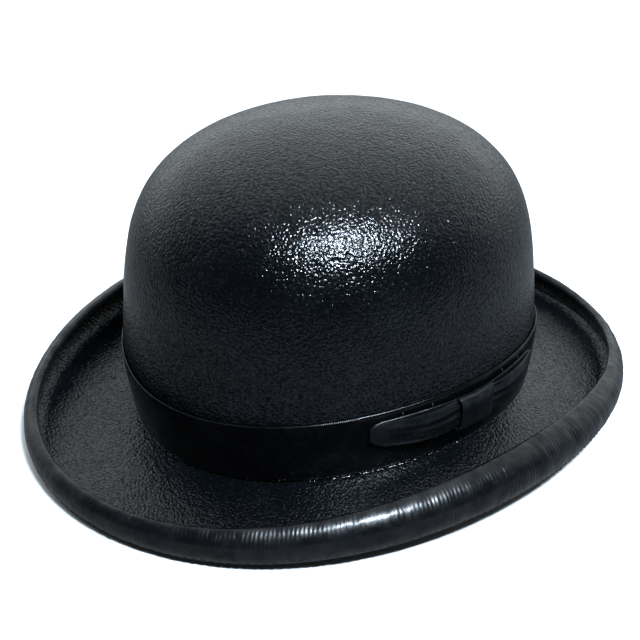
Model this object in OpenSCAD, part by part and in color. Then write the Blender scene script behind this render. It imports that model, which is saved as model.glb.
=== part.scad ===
// Bowler hat: a stiff felt body with a ribbon band and bow, a bound and curled brim, and a full inside.
// Millimetres. +X is the wearer's left, -Y the front and +Z up. The origin is on the surface that the
// hat rests on, under its middle. Angles run from +X, through +Y (the back), round the head.

/* [Felt body] */
// Half the outer width of the felt oval where crown meets brim
oval_half_w = 86.5; // [80:0.5:92]
// Half the outer length of the felt oval where crown meets brim
oval_half_l = 98.1; // [92:0.1:105]
// Height of the crown's top above the surface the hat rests on
crown_top = 140.3; // [125:0.1:155]
// Thickness of the stiffened felt
felt_t = 2.4; // [2:0.1:3]

/* [Crown shape] */
// Height at which the wall rounds over into the dome
shoulder_h = 44; // [38:1:55]
// Superellipse power of the dome along its height
dome_rise_power = 3.75; // [2.6:0.05:4]
// Superellipse power of the dome along its width
dome_reach_power = 2.22; // [2:0.02:3]
// How much wider the wall is at the shoulder than at the brim, as a share
wall_flare = 0.043; // [0.02:0.001:0.06]
// How much the middle of the dome is drawn in, as a share
dome_draw = 0.029; // [0:0.001:0.05]
// How far the top leans towards the front
crown_lean = 3.5; // [0:0.1:6]

/* [Brim] */
// Flat width of the brim before its curl, mean round the oval
flat_len_mean = 37.3; // [34:0.1:42]
// How much narrower the flat is at the sides, and wider at front and back
flat_len_side = 8.8; // [5:0.1:9.5]
// Slope of the flat outwards and down, mean, in degrees
slope_mean = 9.3; // [8.5:0.1:11]
// How much steeper the flat falls at the sides, in degrees
slope_side = 4.7; // [3:0.1:5.5]
// How much steeper the flat falls at the front than at the mean, in degrees
slope_front = 0.3; // [0:0.1:1]
// How high the brim's sides stand above its front and back
side_lift = 7.2; // [4:0.1:10]
// How suddenly the sides rise from the flat front and back
lift_power = 2.5; // [2.2:0.1:4]

/* [Curl and binding] */
// Inside radius of the curl, mean
curl_r_mean = 7; // [6.2:0.1:8]
// How much larger the radius is at the sides
curl_r_side = 1.2; // [0:0.1:1.5]
// Angle at which the curl ends, mean, where 90 stands straight up
curl_end_mean = 156; // [140:1:160]
// How much further the curl turns over at the sides
curl_end_side = 16; // [8:1:18]
// Thickness of the binding ribbon
binding_t = 0.8; // [0.5:0.1:1]
// Angle round the curl at which the outside of the binding starts
binding_start = 48; // [40:1:70]
// Width of the binding on the inside of the curl
binding_inner = 9; // [7:0.5:10]

/* [Band and bow] */
// Height of the band ribbon
band_h = 29.5; // [24:0.5:32]
// Thickness of the band ribbon
band_t = 0.8; // [0.6:0.1:1]
// Angle from the bow's middle to the end of a loop, in degrees
bow_half = 29; // [24:0.5:32]
// Half the angle that the knot covers
knot_half = 5.5; // [4:0.5:7]
// Thickness of the bow's ribbon
bow_ribbon_t = 0.5; // [0.4:0.1:0.7]
// How far a loop puffs out from its backing
loop_puff = 3; // [2:0.5:5]

/* [Inside] */
// Height of the leather sweatband
sweatband_h = 50; // [42:1:55]
// Thickness of the sweatband leather
leather_t = 1.0; // [0.8:0.1:1.2]
// Thickness of the satin lining, with its gathers pressed flat
lining_t = 0.5; // [0.4:0.1:0.6]
// Row of the dome, counted from the shoulder, at which the lining's side meets its tip
tip_seam_row = 6; // [5:1:7]

/* [Hidden] */

felt_color = [0.04, 0.045, 0.05];
ribbon_color = [0.02, 0.02, 0.022];
leather_color = [0.35, 0.2, 0.11];
satin_color = [0.5, 0.46, 0.4];
thread_color = [0.1, 0.1, 0.1];
card_color = [0.9, 0.88, 0.8];

columns = 60;              // stations round the oval, the same for every ring
turn = 360 / columns;
wall_rows = 4;             // rows from the brim to the shoulder, the same for every layer
dome_rows = 12;            // rows from the shoulder to the top, the same for every layer
curl_rows_in = 3;          // rows under the binding inside the curl
curl_rows_out = 6;         // rows under the binding outside the curl
gap = 0.1;                 // air kept between two soft layers
bow_gap = 0.2;             // air kept between the bow's layers
band_gap = 0.25;           // air kept between the band and the felt, which bulges at the shoulder
binding_gap = 0.15;        // air kept between the binding and the felt
bow_mid = -1;              // angle of the bow's middle, on the wearer's left
rest_sink = 0.25;          // how far the felt has settled, which leaves a flat at front and back
lowest_break = break_z(90);
tape_t = 0.4;              // thickness of the tape behind the leather
tab_room = 0.6;            // room between lining and leather, where the card tab sits

// Layers inside the crown, as depths from the felt's outer face
lining_out = felt_t + gap;
lining_in = lining_out + lining_t;
tape_in = lining_out + tape_t;
leather_out = lining_in + tab_room;
leather_in = leather_out + leather_t;

// Layers outside the crown, as distances proud of the felt
band_out = band_gap + band_t;
backing_out = band_out + bow_gap + bow_ribbon_t;
loop_back = backing_out + bow_gap;

// ---- The shape that every layer follows ----

function around(step = turn) = [for (a = [0 : step : 360 - step / 2]) a];
function unit2(v) = v / norm(v);
function outward(a) = unit2([cos(a) / oval_half_w, sin(a) / oval_half_l]);

// Brim values that change round the oval
function lift(a) = side_lift * pow(abs(cos(a)), lift_power) - rest_sink;
function slope(a) = -slope_mean - slope_side * cos(2 * a) + slope_front * sin(a);
function curl_r(a) = curl_r_mean + curl_r_side * cos(2 * a);
function curl_end(a) = curl_end_mean + curl_end_side * cos(2 * a);
function flat_len(a) = flat_len_mean - flat_len_side * cos(2 * a);
function reach(a) = flat_len(a) * cos(slope(a)) + curl_r(a) * (1 - sin(slope(a)));
function end_y(a) = oval_half_l * share_at(break_z(a), crown_top) + reach(a);
function break_z(a) = lift(a) + felt_t + curl_r(a) * (1 - cos(slope(a))) - flat_len(a) * sin(slope(a));

// Sets the middle of the brim's length over the origin
function centring() = (end_y(-90) - end_y(90) + crown_lean * (break_z(-90) + break_z(90)) / crown_top) / 2;

// Width of the crown at height z, as a share of its width at the brim
function wall_share(z) = min(1, max(0, (z - lowest_break) / (shoulder_h - lowest_break)));
function flare_at(z) = wall_flare * sin(90 * wall_share(z));
function dome_t(z, top) = min(1, max(0, (z - shoulder_h) / (top - shoulder_h)));
function dome_share(t) = pow(1 - pow(t, dome_rise_power), 1 / dome_reach_power);
function share_at(z, top) =
    let (t = dome_t(z, top))
    dome_share(t) * (1 + flare_at(z) - dome_draw * sin(180 * t));

// A point at angle a and height z, in mm inside the felt's outer face
function crown_pt(a, z, inside) =
    let (s = share_at(z, crown_top - inside))
    [(oval_half_w - inside) * cos(a) * s,
     (oval_half_l - inside) * sin(a) * s - crown_lean * z / crown_top + centring(),
     z];
function apex(inside) = crown_pt(0, crown_top - inside, inside);
// The same, with the height taken from where crown meets brim
function wall_pt(a, h, inside) = crown_pt(a, break_z(a) + h, inside);
// Height of a row of the dome, counted from the shoulder: the rows crowd together towards the top
function row_z(row, top) = shoulder_h + (top - shoulder_h) * pow(sin(90 * row / dome_rows), 0.8);
function dome_pt(a, row, inside) = crown_pt(a, row_z(row, crown_top - inside), inside);
// A point on the wall, at a share of the way from the break to the shoulder
function share_pt(a, share, inside) = crown_pt(a, mix(break_z(a), shoulder_h, share), inside);
function mix(from, to, share) = from + (to - from) * share;

// A point beyond the break: s outwards, h up from the break
function brim_pt(a, s, h) =
    let (base = wall_pt(a, 0, 0), n = outward(a))
    [base.x + n.x * s, base.y + n.y * s, max(0, base.z + h)];
// On the flat of the brim, in mm under its top face
function flat_pt(a, along, under) = brim_pt(a, along * cos(slope(a)) + under * sin(slope(a)),
                                            along * sin(slope(a)) - under * cos(slope(a)));
// On the curl, at angle k round it, in mm outside its inner face
function curl_pt(a, k, outside) =
    let (s = slope(a), r = curl_r(a), d = r + outside)
    brim_pt(a,
            flat_len(a) * cos(s) - r * sin(s) + d * sin(k),
            flat_len(a) * sin(s) + r * cos(s) - d * cos(k));
// On the rounded edge, at angle k from its inner face, in mm proud of the felt
function edge_pt(a, k, proud) =
    let (e = curl_end(a), s = slope(a), r = curl_r(a), mid = r + felt_t / 2, rim = felt_t / 2 + proud)
    brim_pt(a,
            flat_len(a) * cos(s) - r * sin(s) + mid * sin(e) + rim * (cos(e) * sin(k) - sin(e) * cos(k)),
            flat_len(a) * sin(s) + r * cos(s) - mid * cos(e) + rim * (sin(e) * sin(k) + cos(e) * cos(k)));

// ---- Solids built from rings of points ----

function flat(lists) = [for (l = lists) for (p = l) p];

// A closed skin: rows of points round the oval, from one tip to the other
module skin(rows, first_tip, last_tip) {
    n = len(rows[0]);
    m = len(rows);
    points = concat([first_tip], flat(rows), [last_tip]);
    faces = concat(
        [for (j = [0 : n - 1]) [0, 1 + (j + 1) % n, 1 + j]],
        [for (i = [0 : m - 2]) for (j = [0 : n - 1])
            [1 + i * n + j, 1 + i * n + (j + 1) % n, 1 + (i + 1) * n + (j + 1) % n]],
        [for (i = [0 : m - 2]) for (j = [0 : n - 1])
            [1 + i * n + j, 1 + (i + 1) * n + (j + 1) % n, 1 + (i + 1) * n + j]],
        [for (j = [0 : n - 1]) [1 + m * n, 1 + (m - 1) * n + j, 1 + (m - 1) * n + (j + 1) % n]]);
    polyhedron(points, faces);
}

// A closed profile at each station, joined into a ring
module ring(sections) {
    n = len(sections);
    m = len(sections[0]);
    faces = concat(
        [for (i = [0 : n - 1]) for (j = [0 : m - 1])
            [i * m + j, ((i + 1) % n) * m + j, ((i + 1) % n) * m + (j + 1) % m]],
        [for (i = [0 : n - 1]) for (j = [0 : m - 1])
            [i * m + j, ((i + 1) % n) * m + (j + 1) % m, i * m + (j + 1) % m]]);
    polyhedron(flat(sections), faces);
}

// A closed profile at each station, with both ends closed
module strip(sections) {
    n = len(sections);
    m = len(sections[0]);
    faces = concat(
        [for (i = [0 : n - 2]) for (j = [0 : m - 1])
            [i * m + j, (i + 1) * m + j, (i + 1) * m + (j + 1) % m]],
        [for (i = [0 : n - 2]) for (j = [0 : m - 1])
            [i * m + j, (i + 1) * m + (j + 1) % m, i * m + (j + 1) % m]],
        [for (j = [1 : m - 2]) [0, j, j + 1]],
        [for (j = [1 : m - 2]) [(n - 1) * m, (n - 1) * m + j + 1, (n - 1) * m + j]]);
    polyhedron(flat(sections), faces);
}

function reversed(list) = [for (i = [len(list) - 1 : -1 : 0]) list[i]];
// Profile of a layer on the wall between two heights above the break, its deeper face first
function layer(a, h0, h1, deep, shallow, steps = 2) = concat(
    [for (i = [0 : steps]) wall_pt(a, mix(h0, h1, i / steps), deep)],
    [for (i = [0 : steps]) wall_pt(a, mix(h1, h0, i / steps), shallow)]);

// Profile of a round thread or cord that runs along the wall
function cord_section(a, h, inside, r, sides = 6) =
    [for (i = [0 : sides - 1]) wall_pt(a, h - r * cos(i * 360 / sides), inside + r * sin(i * 360 / sides))];

// A short stitch across the wall, as a small bar
module stitch(a, h, inside, size) {
    p = wall_pt(a, h, inside);
    n = outward(a);
    translate(p) rotate([0, 0, atan2(n.y, n.x)]) cube(size, center = true);
}

// ---- Felt body ----

module felt_body() {
    fillet = 1.5;
    corner = 1.8;
    under = felt_t - corner;
    color(felt_color) skin(
        concat(
            [for (i = [dome_rows - 1 : -1 : 0]) [for (a = around()) dome_pt(a, i, 0)]],
            [for (i = [wall_rows - 1 : -1 : 1]) [for (a = around()) share_pt(a, i / wall_rows, 0)]],
            [for (k = [0, 45, 90]) [for (a = around())
                brim_pt(a, fillet * (1 - cos(k)), fillet * (1 - sin(k)))]],
            [[for (a = around()) flat_pt(a, flat_len(a), 0)]],
            [for (i = [1 : 4]) [for (a = around()) curl_pt(a, mix(slope(a), binding_end(a), i / 4), 0)]],
            [for (i = [1 : curl_rows_in]) [for (a = around())
                curl_pt(a, mix(binding_end(a), curl_end(a), i / curl_rows_in), 0)]],
            [for (k = [45 : 45 : 135]) [for (a = around()) edge_pt(a, k, 0)]],
            [for (i = [0 : curl_rows_out]) [for (a = around())
                curl_pt(a, mix(curl_end(a), binding_start, i / curl_rows_out), felt_t)]],
            [for (i = [1 : 4]) [for (a = around()) curl_pt(a, mix(binding_start, slope(a), i / 4), felt_t)]],
            [for (k = [0, 45]) [for (a = around())
                brim_pt(a, -felt_t + corner * (1 - sin(k)), -felt_t + corner * (1 - cos(k)))]],
            [[for (a = around()) wall_pt(a, -under, felt_t)]],
            [for (i = [1 : wall_rows - 1]) [for (a = around()) share_pt(a, i / wall_rows, felt_t)]],
            [for (i = [0 : dome_rows - 1]) [for (a = around()) dome_pt(a, i, felt_t)]]),
        apex(0),
        apex(felt_t));
}

// ---- Binding of the brim's edge ----

// Angle round the curl at which the inside of the binding ends
function binding_end(a) = curl_end(a) - binding_inner / curl_r(a) * 180 / PI;

// One face of the binding at a station, from inside the curl, over the edge and down its outside
function binding_face(a, proud) = concat(
    [for (i = [0 : curl_rows_in]) curl_pt(a, mix(binding_end(a), curl_end(a), i / curl_rows_in), -proud)],
    [for (k = [45 : 45 : 135]) edge_pt(a, k, proud)],
    [for (i = [0 : curl_rows_out])
        curl_pt(a, mix(curl_end(a), binding_start, i / curl_rows_out), felt_t + proud)]);

module brim_binding() {
    color(ribbon_color)
        ring([for (a = around()) concat(binding_face(a, binding_t), reversed(binding_face(a, binding_gap)))]);
}

module binding_thread() {
    r = 0.25;
    lead = binding_t + r + gap;
    seam_share = 0.93;     // where the outside row runs, as a share of the ribbon's way from the edge
    seam_half = 2;         // degrees of the curl that half the row's width covers
    color(thread_color) {
        ring([for (a = around()) [for (i = [0 : 90 : 270])
            curl_pt(a, mix(curl_end(a), binding_start, seam_share) + seam_half * cos(i),
                     felt_t + lead + r * sin(i))]]);
        ring([for (a = around()) [for (i = [0 : 90 : 270])
            curl_pt(a, mix(binding_end(a), curl_end(a), 1 / curl_rows_in) + seam_half * cos(i),
                    -lead + r * sin(i))]]);
    }
}

// ---- Band and bow ----

module hat_band() {
    foot = 1.5;            // clears the felt's rounded corner
    color(ribbon_color) ring([for (a = around()) layer(a, foot, foot + band_h, -band_gap, -band_out, 4)]);
}

// How far along a loop an angle lies, from 0 at the knot to 1 at the end
function along_loop(off) = min(1, max(0, (off - knot_half) / (bow_half - knot_half)));
// The bow's middle height and half height: a loop narrows and climbs towards its end
function bow_height(off) = bow_mid_h + bow_climb * along_loop(off);
function bow_half_h(off) =
    let (u = along_loop(off))
    (bow_half_at_knot - bow_narrowing * u * u) * end_round(u);
// Share of its height that a loop keeps where its last part is rounded off
function end_round(u) = sqrt(max(least_end, 1 - pow(max(0, u - round_from) / round_over, 2)));
bow_mid_h = 19.8;          // height of the bow's middle above the break, at the knot
bow_climb = 2.6;           // how much higher that middle is at a loop's end
bow_half_at_knot = 7.2;    // half the ribbon's width at the knot
bow_narrowing = 1.9;       // how much of that half is folded away at a loop's end
round_from = 0.82;         // share of a loop at which its end starts to round off
round_over = 0.185;        // share of a loop over which it would round to nothing
least_end = 0.12;          // keeps the end blunt

// Profile of the bow at a station: straight back, front that puffs out
function bow_section(a, back, edge_out, puff, trim = 0) =
    let (off = abs(a - bow_mid), h = bow_height(off), half = bow_half_h(off) - trim)
    concat([for (v = [-1 : 0.5 : 1])
               wall_pt(a, h + half * v, -(edge_out + puff * sqrt(max(0, 1 - v * v))))],
           [wall_pt(a, h + half, -back), wall_pt(a, h - half, -back)]);
// How far the front of a loop stands out: most before its middle, and still a little at the knot
function loop_shape(u) = loop_puff * sin(180 * pow(u, 0.75)) + 0.8 * (1 - u);

module bow_loop(side) {
    steps = 9;
    first = knot_half + 0.2;
    stations = [for (i = [0 : steps]) bow_mid + side * mix(first, bow_half, i / steps)];
    color(ribbon_color) strip([for (a = side > 0 ? reversed(stations) : stations)
        bow_section(a, loop_back, loop_back + 2 * bow_ribbon_t, loop_shape(along_loop(abs(a - bow_mid))))]);
}
module bow_front_loop() bow_loop(-1);
module bow_rear_loop() bow_loop(1);

module bow_backing() {
    short = 2;             // degrees by which the backing stops before the loops' ends
    narrower = 0.6;        // how far its edges hide behind the loops' edges
    steps = 12;
    color(ribbon_color) strip([for (i = [0 : steps])
        bow_section(mix(bow_mid + bow_half - short, bow_mid - bow_half + short, i / steps),
                    band_out + bow_gap, backing_out, 0, narrower)]);
}

module bow_knot() {
    steps = 6;
    knot_puff = 2.2;
    taller = 0.5;          // how far the knot stands above and below the loops
    color(ribbon_color) strip([for (i = [1 : -2 / steps : -1.01])
        bow_section(bow_mid + knot_half * i, loop_back, loop_back + 1.6 * bow_ribbon_t,
                    knot_puff * sqrt(1.1 - i * i), -taller)]);
}

module bow_tacks() {
    tack = [0.4, 0.5, 1.4];
    above = 0.9;           // from the loop's top edge to the middle of a tack
    color(thread_color) for (side = [-1, 1]) for (off = [12, 20]) {
        a = bow_mid + side * off;
        stitch(a, bow_height(off) + bow_half_h(off) + above, -band_out - tack.x, tack);
    }
}

// ---- Lining ----

// One face of the lining's side, from its foot to the seam
function side_face(a, inside, foot, seam_gap) = concat(
    [wall_pt(a, foot, inside)],
    [for (i = [2 : wall_rows - 1]) share_pt(a, i / wall_rows, inside)],
    [for (i = [0 : tip_seam_row - 1]) dome_pt(a, i, inside)],
    [dome_pt(a, tip_seam_row - seam_gap, inside)]);

module lining_side() {
    foot = 9;
    seam_gap = 0.1;
    color(satin_color) ring([for (a = around())
        concat(side_face(a, lining_in, foot, seam_gap), reversed(side_face(a, lining_out, foot, seam_gap)))]);
}

// A thin cap under the crown's top, between two depths, from a row of the dome to the top
module cap(first, outer, inner) {
    skin(concat(
            [for (i = [dome_rows - 1 : -1 : first]) [for (a = around()) dome_pt(a, i, outer)]],
            [for (i = [first : dome_rows - 1]) [for (a = around()) dome_pt(a, i, inner)]]),
        apex(outer), apex(inner));
}

module lining_tip() color(satin_color) cap(tip_seam_row, lining_out, lining_in);

module lining_piping() {
    r = 0.8;
    depth = lining_in + bow_gap + r;
    sides = 6;
    row_step = 0.05;       // rows of the dome that the cord's half width covers
    color(satin_color) ring([for (a = around()) [for (i = [0 : sides - 1])
        dome_pt(a, tip_seam_row + row_step * cos(i * 360 / sides), depth - r * sin(i * 360 / sides))]]);
}

module tip_shield() {
    film_t = 0.25;
    color([0.9, 0.92, 0.92, 0.35]) cap(tip_seam_row + 1, lining_in + gap, lining_in + gap + film_t);
}

module lining_tacks() {
    spacing = 30;
    tack_h = 12;           // height above the break, 3 mm over the lining's foot
    color(thread_color) for (a = around(spacing)) stitch(a, tack_h, lining_in + 0.3, [0.2, 2, 0.5]);
}

// ---- Sweatband ----

// One face of the leather, from its foot to its top edge
function leather_face(a, inside) = concat(
    [wall_pt(a, 0.2, inside)],
    [for (i = [1 : wall_rows]) share_pt(a, i / wall_rows, inside)],
    [wall_pt(a, sweatband_h, inside)]);

module sweatband() color(leather_color) ring([for (a = around())
    concat(leather_face(a, leather_in), reversed(leather_face(a, leather_out)))]);

module sweatband_reed() {
    r = 0.7;               // the cord's top just touches the height of the break
    color("white") ring([for (a = around()) cord_section(a, -r, (leather_in + leather_out) / 2, r)]);
}

module reed_tape() {
    foot = -0.3;
    top = 8;
    color(thread_color) ring([for (a = around()) layer(a, foot, top, tape_in, lining_out)]);
}

module sweatband_thread() {
    row_h = 3;
    r = 0.2;
    color(thread_color) ring([for (a = around()) cord_section(a, row_h, leather_in + 0.3, r, 4)]);
}

module sweatband_back_seam() {
    pitch = 3.5;
    first_h = 20;          // over the small bow, which hides the seam below
    color(thread_color) for (h = [first_h : pitch : sweatband_h - 3])
        stitch(90, h, leather_in + 0.5, [0.4, 3, 0.7]);
}

// Profile of a piece of narrow ribbon that lies on the leather
function ribbon_section(a, h, half, rise, thickness) = [
    wall_pt(a, h - half, leather_in + rise), wall_pt(a, h - half, leather_in + rise + thickness),
    wall_pt(a, h + half, leather_in + rise + thickness), wall_pt(a, h + half, leather_in + rise)];

small_bow_h = 13;          // height of the small bow's middle above the break
small_bow_rise = 0.3;      // air between the leather and the small bow

module inner_ribbon_loops() {
    first = 1.4;           // degrees from the back seam at which a loop leaves the knot
    loop_span = 6;         // degrees of the oval that one loop covers
    droop = 0.5;           // mm that a loop sinks for each of those degrees
    steps = 5;
    ribbon_half = 1.6;
    loop_t = 1.6;
    color(thread_color) for (side = [-1, 1]) {
        offs = [for (i = [0 : steps]) first + loop_span * i / steps];
        strip([for (off = side > 0 ? offs : reversed(offs))
            ribbon_section(90 + side * off, small_bow_h - off * droop,
                           ribbon_half + sin(off * 30), small_bow_rise, loop_t)]);
    }
}

module inner_ribbon_knot() {
    half_span = 1.2;       // degrees
    knot_half_h = 2;
    knot_t = 2.2;
    color(thread_color) strip([for (off = [-half_span, 0, half_span])
        ribbon_section(90 + off, small_bow_h, knot_half_h, small_bow_rise, knot_t)]);
}

module size_tab() {
    depth = lining_in + tab_room / 2;
    half_t = 0.08;
    foot = 38;
    top = 62;              // stands 12 mm above the leather, to be read
    color(card_color) strip([for (a = [96 : turn : 114])
        layer(a, foot, top, depth + half_t, depth - half_t, 4)]);
}

felt_body();
brim_binding();
binding_thread();
hat_band();
bow_backing();
bow_front_loop();
bow_rear_loop();
bow_knot();
bow_tacks();
lining_side();
lining_tip();
lining_piping();
tip_shield();
sweatband();
sweatband_reed();
reed_tape();
sweatband_thread();
sweatband_back_seam();
inner_ribbon_loops();
inner_ribbon_knot();
lining_tacks();
size_tab();
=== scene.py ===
"""Looks of the bowler hat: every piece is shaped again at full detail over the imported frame."""
import math
import bmesh
import bpy
import numpy as np
from mathutils import Matrix, Vector


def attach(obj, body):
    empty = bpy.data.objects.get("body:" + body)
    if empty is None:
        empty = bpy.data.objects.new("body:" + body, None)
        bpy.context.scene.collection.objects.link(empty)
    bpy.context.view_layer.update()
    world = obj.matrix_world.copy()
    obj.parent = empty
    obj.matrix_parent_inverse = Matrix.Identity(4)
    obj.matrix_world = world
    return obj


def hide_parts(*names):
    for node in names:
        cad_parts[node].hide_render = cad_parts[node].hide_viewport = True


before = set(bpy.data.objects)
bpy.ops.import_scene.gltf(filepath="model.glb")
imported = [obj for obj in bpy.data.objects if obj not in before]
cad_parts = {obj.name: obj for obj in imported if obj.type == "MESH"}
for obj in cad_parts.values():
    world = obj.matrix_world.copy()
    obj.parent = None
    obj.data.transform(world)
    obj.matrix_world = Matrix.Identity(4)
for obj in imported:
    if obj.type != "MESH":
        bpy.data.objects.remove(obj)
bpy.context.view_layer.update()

MM = 0.001

# ---- The hat's driving sizes, in mm and degrees, the same as the part's ----

HALF_W, HALF_L, TOP, FELT = 86.5, 98.1, 140.3, 2.4
SHOULDER, RISE, REACH_POWER = 44.0, 3.75, 2.22
FLARE, DRAW, LEAN = 0.043, 0.029, 3.5
FLAT_MEAN, FLAT_SIDE = 37.3, 8.8
SLOPE_MEAN, SLOPE_SIDE, SLOPE_FRONT = 9.3, 4.7, 0.3
SIDE_LIFT, LIFT_POWER, SINK = 7.2, 2.5, 0.25
CURL_R, CURL_R_SIDE, CURL_END, CURL_END_SIDE = 7.0, 1.2, 156.0, 16.0
BINDING_T, BINDING_START, BINDING_INNER, BINDING_GAP = 0.8, 48.0, 9.0, 0.15
BAND_FOOT, BAND_H, BAND_T, BAND_GAP = 1.5, 29.5, 0.8, 0.25
BOW_MID, BOW_HALF, KNOT_HALF, BOW_T, PUFF = -1.0, 29.0, 5.5, 0.5, 3.0
BOW_MID_H, BOW_CLIMB, BOW_HALF_H, BOW_NARROWING = 19.8, 2.6, 7.2, 1.9
ROUND_FROM, ROUND_OVER, LEAST_END = 0.82, 0.185, 0.12      # how a loop's far end rounds off
SWEAT_H, LEATHER_T, LINING_T = 50.0, 1.0, 0.5
DOME_ROWS, SEAM_ROW = 12, 6
REED_R, PIPING_R, LINING_FOOT, LINING_TACK_H = 0.68, 0.8, 9, 12.0
OUTER_ROW, INNER_ROW = 0.93, 1 / 3      # where the binding's seams run, as shares of its two faces

LINING_OUT = FELT + 0.1
LINING_IN = LINING_OUT + LINING_T
TAPE_IN = LINING_OUT + 0.4
LEATHER_OUT = LINING_IN + 0.6
LEATHER_IN = LEATHER_OUT + LEATHER_T
BAND_OUT = BAND_GAP + BAND_T
BACKING_OUT = BAND_OUT + 0.2 + BOW_T
LOOP_BACK = BACKING_OUT + 0.2


# ---- The shape that every layer follows (angles in degrees, arrays welcome) ----

def cosd(a):
    return np.cos(np.radians(a))


def sind(a):
    return np.sin(np.radians(a))


def mix(start, end, share):
    return start + (end - start) * share


def slope(a):
    return -SLOPE_MEAN - SLOPE_SIDE * cosd(2 * a) + SLOPE_FRONT * sind(a)


def curl_r(a):
    return CURL_R + CURL_R_SIDE * cosd(2 * a)


def curl_end(a):
    return CURL_END + CURL_END_SIDE * cosd(2 * a)


def flat_len(a):
    return FLAT_MEAN - FLAT_SIDE * cosd(2 * a)


def lift(a):
    return SIDE_LIFT * np.abs(cosd(a)) ** LIFT_POWER - SINK


def break_z(a):
    """Height at which the crown meets the brim."""
    return lift(a) + FELT + curl_r(a) * (1 - cosd(slope(a))) - flat_len(a) * sind(slope(a))


def share_at(z, top):
    """The crown's width at height z, as a share of its width at the brim."""
    t = np.clip((z - SHOULDER) / (top - SHOULDER), 0, 1)
    rise = np.clip((z - break_z(90.0)) / (SHOULDER - break_z(90.0)), 0, 1)
    return (1 - t**RISE) ** (1 / REACH_POWER) * (1 + FLARE * sind(90 * rise) - DRAW * sind(180 * t))


def end_y(a):
    reach = flat_len(a) * cosd(slope(a)) + curl_r(a) * (1 - sind(slope(a)))
    return HALF_L * share_at(break_z(a), TOP) + reach


CENTRING = (end_y(-90.0) - end_y(90.0) + LEAN * (break_z(-90.0) + break_z(90.0)) / TOP) / 2


def crown_pt(a, z, inside):
    s = share_at(z, TOP - inside)
    x = (HALF_W - inside) * cosd(a) * s
    y = (HALF_L - inside) * sind(a) * s - LEAN * z / TOP + CENTRING
    return np.stack(np.broadcast_arrays(x, y, z), -1)


def wall_pt(a, h, inside):
    return crown_pt(a, break_z(a) + h, inside)


def row_z(row, top):
    return SHOULDER + (top - SHOULDER) * sind(90 * row / DOME_ROWS) ** 0.8


def dome_pt(a, row, inside):
    return crown_pt(a, row_z(row, TOP - inside) + 0 * a, inside)


def apex(inside):
    return crown_pt(np.array(0.0), np.array(TOP - inside), inside)


def outward(a):
    n = np.stack(np.broadcast_arrays(cosd(a) / HALF_W, sind(a) / HALF_L), -1)
    return n / np.linalg.norm(n, axis=-1, keepdims=True)


def brim_pt(a, s, h):
    """A point s outwards and h up from the break."""
    base, n = wall_pt(a, 0, 0), outward(a)
    s, h = np.broadcast_arrays(s + 0 * a, h + 0 * a)
    return np.stack([base[..., 0] + n[..., 0] * s, base[..., 1] + n[..., 1] * s,
                     np.maximum(0, base[..., 2] + h)], -1)


def flat_pt(a, along, under):
    s = slope(a)
    return brim_pt(a, along * cosd(s) + under * sind(s), along * sind(s) - under * cosd(s))


def curl_pt(a, k, outside):
    """A point on the curl, at angle k round it, outside its inner face."""
    s, r = slope(a), curl_r(a)
    d = r + outside
    return brim_pt(a, flat_len(a) * cosd(s) - r * sind(s) + d * sind(k),
                   flat_len(a) * sind(s) + r * cosd(s) - d * cosd(k))


def edge_pt(a, k, proud):
    """A point on the rounded edge, at angle k from its inner face."""
    e, s, r = curl_end(a), slope(a), curl_r(a)
    mid, rim = r + FELT / 2, FELT / 2 + proud
    return brim_pt(a,
                   flat_len(a) * cosd(s) - r * sind(s) + mid * sind(e)
                   + rim * (cosd(e) * sind(k) - sind(e) * cosd(k)),
                   flat_len(a) * sind(s) + r * cosd(s) - mid * cosd(e)
                   + rim * (sind(e) * sind(k) + cosd(e) * cosd(k)))


def binding_end(a):
    return curl_end(a) - np.degrees(BINDING_INNER / curl_r(a))


def around(count):
    """Evenly spaced angles round the oval, without the last, which is the first again."""
    return np.arange(count) * 360.0 / count


# ---- Seeded noise on points ----

PERIOD = 32                    # blobs after which the noise repeats


def noise(points, size, seed):
    """Smooth value noise from -1 to 1 at points in mm, with blobs about size mm wide."""
    table = np.random.default_rng(seed).uniform(-1, 1, (PERIOD,) * 3)
    q = np.asarray(points, float) / size
    cell = np.floor(q).astype(int)
    f = q - cell
    f = f * f * (3 - 2 * f)
    total = 0
    for dx in (0, 1):
        for dy in (0, 1):
            for dz in (0, 1):
                weight = (np.abs(1 - dx - f[..., 0]) * np.abs(1 - dy - f[..., 1])
                          * np.abs(1 - dz - f[..., 2]))
                corner = (cell[..., 0] + dx, cell[..., 1] + dy, cell[..., 2] + dz)
                total = total + weight * table[tuple(c % PERIOD for c in corner)]
    return total


def ring_noise(a, waves, seed):
    """Noise from about -1 to 1 round the oval, which closes on itself, with up to that many waves."""
    rng = np.random.default_rng(seed)
    total = 0
    for k in range(1, waves + 1):
        total = total + rng.normal() * np.sin(np.radians(k * a) + rng.uniform(0, 2 * math.pi))
    return total / math.sqrt(waves)


# ---- Meshes ----

def face_outwards(mesh):
    """Turns the faces of each closed part of a mesh to look outwards."""
    work = bmesh.new()
    work.from_mesh(mesh)
    bmesh.ops.recalc_face_normals(work, faces=work.faces[:])
    work.to_mesh(mesh)
    work.free()


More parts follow.
